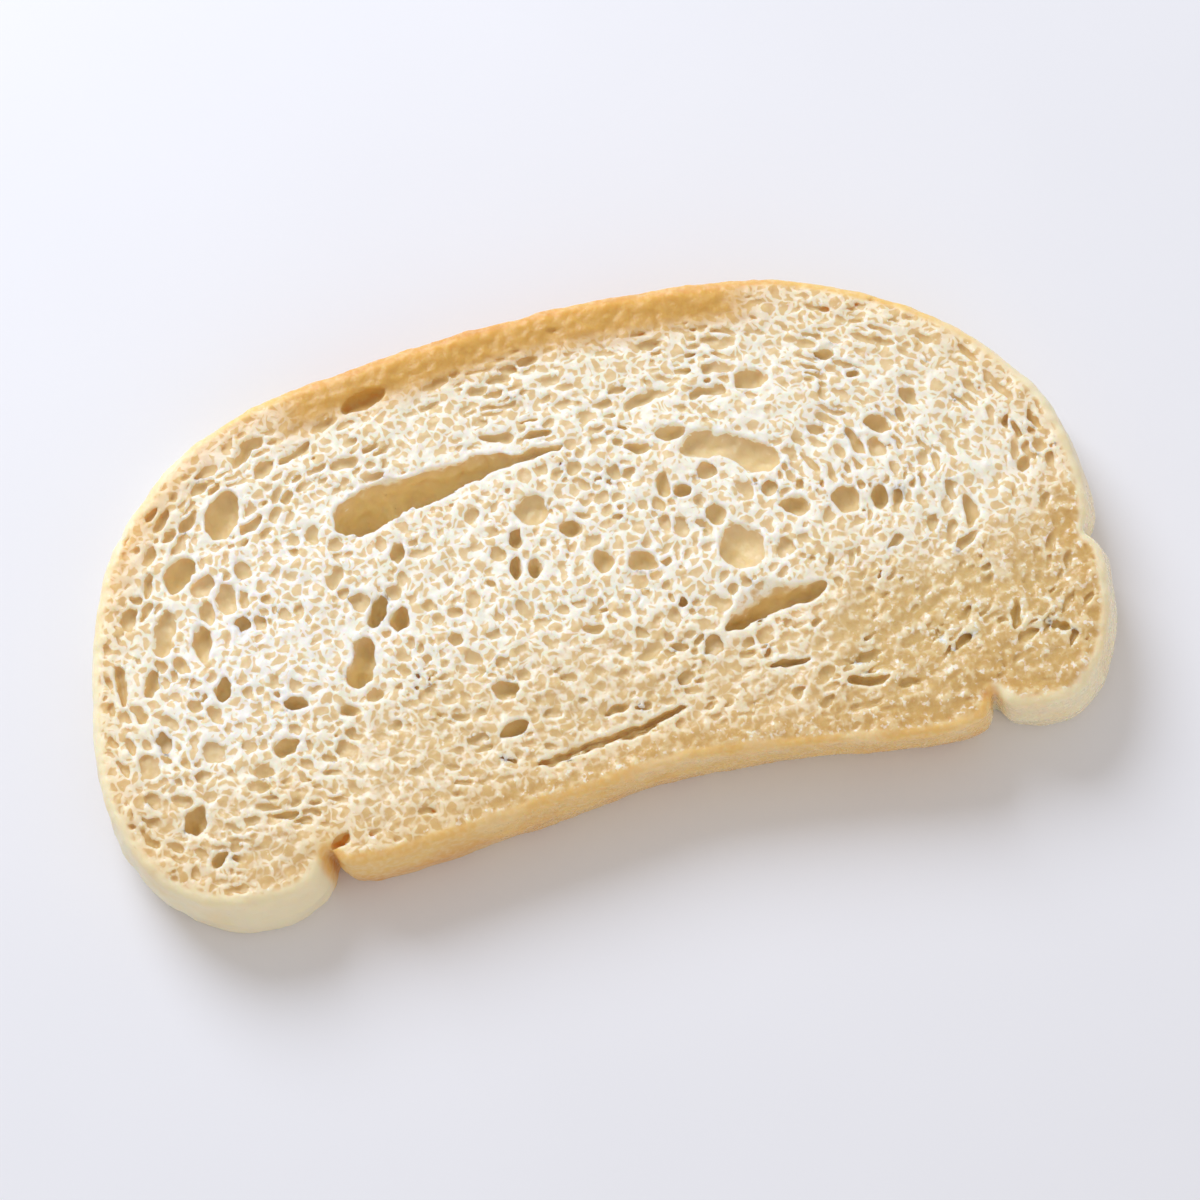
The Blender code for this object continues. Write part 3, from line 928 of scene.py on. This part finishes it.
def froth_of(add, place, marks):
    """The finest cells, too small to carve: below zero on their walls, above it on their skins.

    They are about 1.6 mm apart, and fade where the crumb is moist or the surface lies deep.
    """
    drift = add(NOISE, {}, "Color", Vector=place, Scale=per_mm(1.8), Detail=1.0)
    bent = add(
        "ShaderNodeVectorMath", TIMES_AND_ADDED,
        _0=drift, _1=(2.2 * MM, 2.2 * MM, 2.2 * MM), _2=place,
    )
    edge = add(
        "ShaderNodeTexVoronoi", {"feature": "DISTANCE_TO_EDGE"}, "Distance",
        Vector=bent, Scale=per_mm(1.6),
    )
    wall = add(RANGE, EASED, Value=edge, From_Min=0.02, From_Max=0.25, To_Min=1.0, To_Max=-0.3)
    sunk = add(MATH, TIMES_AND_ADDED, _0=marks["deep"], _1=1.5, _2=marks["pit"])
    dry = marks["moist"]
    dry = add(RANGE, EASED, Value=dry, From_Min=0.1, From_Max=0.9, To_Min=-0.16, To_Max=-0.04)
    level = add(RANGE, EASED, Value=sunk, From_Min=0.56, From_Max=0.66, To_Min=1.0, To_Max=0.0)
    strength = add(MATH, TIMES, _0=dry, _1=level)
    return add(MATH, TIMES, _0=wall, _1=strength)


def crumb_colour(add, place, marks, colours):
    """Pale torn walls with painted white highlight, cream skins, and painted golden bounce light
    deep in cells.
    """
    pit, deep, near = marks["pit"], marks["deep"], marks["near"]
    # Painted light: the crumb's pale torn walls are painted whiter on the crests as a highlight, and
    # the hollows, where pit is high, go cream to tan as painted shade. Noise and the finest painted
    # cells break up where the white falls.
    rough = add(NOISE, {}, Vector=place, Scale=per_mm(1.1), Detail=1.5, Roughness=0.5)
    rough = add(MATH, TIMES_AND_ADDED, _0=rough, _1=0.24, _2=pit)
    torn = add(MATH, ADDED, _0=rough, _1=froth_of(add, place, marks))
    torn = add(RANGE, EASED, Value=torn, From_Min=0.48, From_Max=0.62)
    wall = add(MIX, BLENDED, MIXED_COLOUR, _0=torn, _6=colours.wall_white, _7=colours.crumb_cream)
    lined = add(RANGE, EASED, Value=pit, From_Min=0.50, From_Max=0.70)
    cell = add(MIX, BLENDED, MIXED_COLOUR, _0=lined, _6=wall, _7=colours.cell_tan)
    # Deeper surfaces are painted lighter and yellower: painted warm bounce light in the deep cells.
    golden = add(RANGE, EASED, Value=deep, From_Min=0.07, From_Max=0.5)
    crumb = add(MIX, BLENDED, MIXED_COLOUR, _0=golden, _6=cell, _7=colours.cell_gold)
    amber = add(RANGE, EASED, Value=deep, From_Min=0.45, From_Max=0.95)
    crumb = add(MIX, BLENDED, MIXED_COLOUR, _0=amber, _6=crumb, _7=colours.cell_amber)

    # On the moist crumb the yellow tint is weaker on the crests, which paints them lighter as a
    # highlight.
    tint = add(RANGE, EASED, Value=pit, From_Min=0.40, From_Max=0.52, To_Min=0.65, To_Max=0.85)
    yellow = add(MIX, TINTED, MIXED_COLOUR, _0=tint, _6=crumb, _7=colours.moist_yellow)
    crumb = add(MIX, BLENDED, MIXED_COLOUR, _0=marks["moist"], _6=crumb, _7=yellow)
    edged = add(MIX, TINTED, MIXED_COLOUR, _0=0.8, _6=crumb, _7=colours.edge_cream)
    crumb = add(MIX, BLENDED, MIXED_COLOUR, _0=near, _6=crumb, _7=edged)
    rim = add(RANGE, EASED, Value=near, From_Min=0.42, From_Max=0.78)
    close = add(MIX, BLENDED, MIXED_COLOUR, _0=rim, _6=colours.dense_gold, _7=colours.rim_gold)
    crumb = add(MIX, BLENDED, MIXED_COLOUR, _0=marks["gold"], _6=crumb, _7=close)

    pore = add(RANGE, EASED, Value=pit, From_Min=0.58, From_Max=0.76)
    oven = add(MATH, TIMES, _0=near, _1=marks["bake"])
    toasted = add(MATH, TIMES, _0=pore, _1=oven)
    toasted = add(RANGE, EASED, Value=toasted, From_Min=0.03, From_Max=0.22, To_Max=0.85)
    crumb = add(MIX, BLENDED, MIXED_COLOUR, _0=toasted, _6=crumb, _7=colours.crust_amber)

    # Painted glints: white highlight patches on the crests, spread wider where the plan marks more
    # of them.
    ragged = add(NOISE, {}, Vector=place, Scale=per_mm(0.75), Detail=1.5, Roughness=0.6)
    broken = add(MATH, TIMES_AND_ADDED, _0=marks["spark"], _1=0.14, _2=ragged)
    broken = add(RANGE, EASED, Value=broken, From_Min=0.69, From_Max=0.78, To_Max=0.75)
    crest = add(RANGE, EASED, Value=pit, From_Min=0.44, From_Max=0.54, To_Min=1.0, To_Max=0.0)
    glint = add(MATH, TIMES, _0=broken, _1=crest)
    return add(MIX, BLENDED, MIXED_COLOUR, _0=glint, _6=crumb, _7=colours.wall_white)


def crust_colour(add, place, marks, flecks, colours):
    """Pale to golden brown as the crust is baked, in soft patches with fine flour flecks."""
    patches = add(NOISE, {}, Vector=place, Scale=per_mm(7.0), Detail=1.0, Roughness=0.5)
    patches = add(RANGE, EASED, Value=patches, From_Min=0.3, From_Max=0.7, To_Min=-0.12, To_Max=0.12)
    baked = add(MATH, ADDED, _0=marks["bake"], _1=patches)
    light = add(RANGE, EASED, Value=baked, From_Min=0.05, From_Max=0.55)
    crust = add(MIX, BLENDED, MIXED_COLOUR, _0=light, _6=colours.crust_pale, _7=colours.crust_gold)
    dark = add(RANGE, EASED, Value=baked, From_Min=0.55, From_Max=1.15)
    crust = add(MIX, BLENDED, MIXED_COLOUR, _0=dark, _6=crust, _7=colours.crust_brown)
    floury = add(RANGE, EASED, Value=flecks, From_Min=0.35, From_Max=0.75, To_Max=0.25)
    return add(MIX, BLENDED, MIXED_COLOUR, _0=floury, _6=crust, _7=colours.crust_pale)


def wheat_bread_material(colours):
    """White wheat bread, baked and knife-cut.

    The cut cell walls are thin, dry and scatter light; their pale colour is painted whiter on the
    crests and in glints as a highlight. The inside of a cell is a cream skin, painted lighter and
    gold with depth as warm bounce light. The crust is a thin dry skin, matt and golden, and where
    the crumb is moist it is yellower and shinier.
    """
    made = bpy.data.materials.new("wheat_bread_crumb_and_crust")
    made.use_nodes = True
    made.node_tree.nodes.clear()
    add = partial(node_of, made.node_tree)
    place = add("ShaderNodeTexCoord", {}, "Object")
    marks = {name: add(ATTRIBUTE, {"attribute_name": name}, "Fac") for name in MARKS}
    flecks = add(NOISE, {}, Vector=place, Scale=per_mm(0.8), Detail=1.0, Roughness=0.5)
    rinded = add(RANGE, EASED, Value=marks["rind"], From_Min=0.42, From_Max=0.70)
    colour = add(
        MIX, BLENDED, MIXED_COLOUR, _0=rinded, _6=crumb_colour(add, place, marks, colours),
        _7=crust_colour(add, place, marks, flecks, colours),
    )
    relief = add(NOISE, {}, Vector=place, Scale=per_mm(0.7), Detail=1.0, Roughness=0.65)
    strength = add(RANGE, EASED, Value=rinded, From_Min=0.0, From_Max=1.0, To_Min=0.8, To_Max=0.4)
    bump = add("ShaderNodeBump", {}, Height=relief, Distance=0.12 * MM, Strength=strength)
    dry = add(
        RANGE, EASED, Value=marks["moist"], From_Min=0.0, From_Max=1.0, To_Min=0.55, To_Max=0.38
    )
    shine = add(MATH, TIMES_AND_ADDED, _0=flecks, _1=-0.24, _2=dry)
    shader = add(
        "ShaderNodeBsdfPrincipled", {"subsurface_method": "RANDOM_WALK"},
        Base_Color=colour, Roughness=shine, Normal=bump,
        Subsurface_Weight=0.75, Subsurface_Radius=(1.0, 0.75, 0.45), Subsurface_Scale=2.0 * MM,
        Specular_IOR_Level=0.45, IOR=1.45,
    )
    add("ShaderNodeOutputMaterial", {}, Surface=shader)
    return made


def store_marks(mesh, settings, grid, plan, side, face, field):
    """Keeps on the mesh what its material reads: how sunk, deep, crusty and moist each place is."""
    places = points_of(mesh) / MM
    filled = (field < 0).astype(np.float32)
    close = sampled(blurred(filled, 2), grid.low, grid.step, places)
    broad = sampled(blurred(filled, 6), grid.low, grid.step, places)
    sides = sampled(side, grid.low, grid.step, places)
    flat = {"level": face}
    for name in ("moist", "near", "gold", "spark"):
        flat[name] = getattr(plan, name)
    over = {
        name: sampled(values[:, :, None].repeat(2, 2), grid.low, grid.step, places)
        for name, values in flat.items()
    }
    level = THICKNESS_MM + over.pop("level")
    below = np.minimum(level - places[:, 2], places[:, 2])
    # pit, how enclosed each place is, picks the painted crest highlight and the painted shade in
    # hollows; deep picks the painted warm bounce light in the deep cells.
    store(mesh, "pit", 0.45 * close + 0.55 * broad)
    store(mesh, "deep", np.clip(below / DEEPEST, 0, 1))
    store(mesh, "rind", np.exp(np.minimum(sides, 0) / (settings.crust_depth / MM)))
    store(mesh, "bake", browning(places))
    for name, values in over.items():
        store(mesh, name, values)


class BREAD_OT_slice(bpy.types.Operator):
    """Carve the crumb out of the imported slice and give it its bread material"""

    bl_idname = "bread.slice"
    bl_label = "Bread Slice"

    def execute(self, context):
        settings = context.scene.bread_slice
        grid, plan, side, face, field = bread_field(settings)
        points, quads = surface_of(field, grid.low, grid.step)
        mesh = mesh_from(PIECE, points * MM, quads)
        inner = sampled(side, grid.low, grid.step, points) < -1
        mesh = thinned(mesh, settings.triangles, inner)
        mesh.name = PIECE
        mesh.shade_smooth()

        store_marks(mesh, settings, grid, plan, side, face, field)

        piece = bpy.data.objects.new(PIECE, mesh)
        context.scene.collection.objects.link(piece)
        mesh.materials.clear()
        mesh.materials.append(wheat_bread_material(context.scene.bread_colours))
        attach(piece, "root")
        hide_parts(NODE)
        return {"FINISHED"}


def area_light(name, place, aim, size, power, colour):
    data = bpy.data.lights.new(name, "AREA")
    data.shape = "DISK"
    data.size = size
    data.energy = power
    data.color = linear(colour)[:3]
    light = bpy.data.objects.new(name, data)
    light.location = place
    light.rotation_euler = (Vector(aim) - Vector(place)).to_track_quat("-Z", "Y").to_euler()
    bpy.context.scene.collection.objects.link(light)


def table_material():
    """Satin white laminate tabletop: almost even, a faint cool tone and soft, broad gloss."""
    made = bpy.data.materials.new("white_laminate_table")
    made.use_nodes = True
    made.node_tree.nodes.clear()
    add = partial(node_of, made.node_tree)
    place = add("ShaderNodeTexCoord", {}, "Object")
    cloud = add(NOISE, {}, Vector=place, Scale=per_mm(60.0), Detail=3.0, Roughness=0.5)
    colour = add(MIX, BLENDED, MIXED_COLOUR, _0=cloud, _6=linear("#E9EBF1"), _7=linear("#EEF0F6"))
    grain = add(NOISE, {}, Vector=place, Scale=per_mm(0.5), Detail=3.0, Roughness=0.5)
    bump = add("ShaderNodeBump", {}, Height=grain, Strength=0.1, Distance=0.02 * MM)
    shader = add(
        "ShaderNodeBsdfPrincipled", {},
        Base_Color=colour, Roughness=0.5, Normal=bump, Specular_IOR_Level=0.3,
    )
    add("ShaderNodeOutputMaterial", {}, Surface=shader)
    return made


class BREAD_OT_stage(bpy.types.Operator):
    """Add the pale table, the soft lights and the camera at the photograph's angle"""

    bl_idname = "bread.stage"
    bl_label = "Table, Lights and Camera"

    def execute(self, context):
        scene = context.scene
        settings = scene.bread_stage
        half = 1.5
        mesh = bpy.data.meshes.new("table")
        corners = [(-half, -half, 0), (half, -half, 0), (half, half, 0), (-half, half, 0)]
        mesh.from_pydata(corners, [], [(0, 1, 2, 3)])
        mesh.materials.append(table_material())
        table = bpy.data.objects.new("table", mesh)
        scene.collection.objects.link(table)

        area_light("window", (-0.24, 0.70, 0.60), (0, 0, 0), 0.6, 7.3, "#EEF4FF")
        area_light("fill", (0.4, -0.8, 0.6), (0, 0, 0), 1.0, 1.7, "#FFF4EA")
        world = bpy.data.worlds.new("studio")
        world.use_nodes = True
        sky = world.node_tree.nodes["Background"]
        sky.inputs["Color"].default_value = linear("#FFF9F5")
        sky.inputs["Strength"].default_value = 0.52
        scene.world = world
        scene.view_settings.view_transform = "Standard"

        data = bpy.data.cameras.new("camera")
        data.sensor_fit = "HORIZONTAL"
        data.lens = data.sensor_width / (2 * math.tan(settings.view_angle / 2))
        camera = bpy.data.objects.new("camera", data)
        back = Vector((
            math.sin(settings.azimuth) * math.cos(settings.elevation),
            -math.cos(settings.azimuth) * math.cos(settings.elevation),
            math.sin(settings.elevation),
        ))
        camera.location = Vector(settings.aim) + back * settings.distance
        camera.rotation_euler = back.to_track_quat("Z", "Y").to_euler()
        scene.collection.objects.link(camera)
        scene.camera = camera
        return {"FINISHED"}


class BREAD_PT_panel(bpy.types.Panel):
    """Sizes of the crumb and of the stage"""

    bl_idname = "BREAD_PT_panel"
    bl_label = "Bread Slice"
    bl_space_type = "VIEW_3D"
    bl_region_type = "UI"
    bl_category = "Bread"

    def draw(self, context):
        layout = self.layout
        scene = context.scene
        for owner in (scene.bread_slice, scene.bread_colours, scene.bread_stage):
            box = layout.box()
            for name in type(owner).__annotations__:
                box.prop(owner, name)
        layout.operator(BREAD_OT_slice.bl_idname)
        layout.operator(BREAD_OT_stage.bl_idname)


CLASSES = (
    ColourSettings, SliceSettings, StageSettings, BREAD_OT_slice, BREAD_OT_stage, BREAD_PT_panel,
)


def register():
    for cls in CLASSES:
        bpy.utils.register_class(cls)
    bpy.types.Scene.bread_colours = PointerProperty(type=ColourSettings)
    bpy.types.Scene.bread_slice = PointerProperty(type=SliceSettings)
    bpy.types.Scene.bread_stage = PointerProperty(type=StageSettings)


def unregister():
    del bpy.types.Scene.bread_stage
    del bpy.types.Scene.bread_slice
    del bpy.types.Scene.bread_colours
    for cls in reversed(CLASSES):
        bpy.utils.unregister_class(cls)


def main():
    register()
    bpy.ops.bread.slice()
    bpy.ops.bread.stage()


if __name__ == "__main__":
    main()
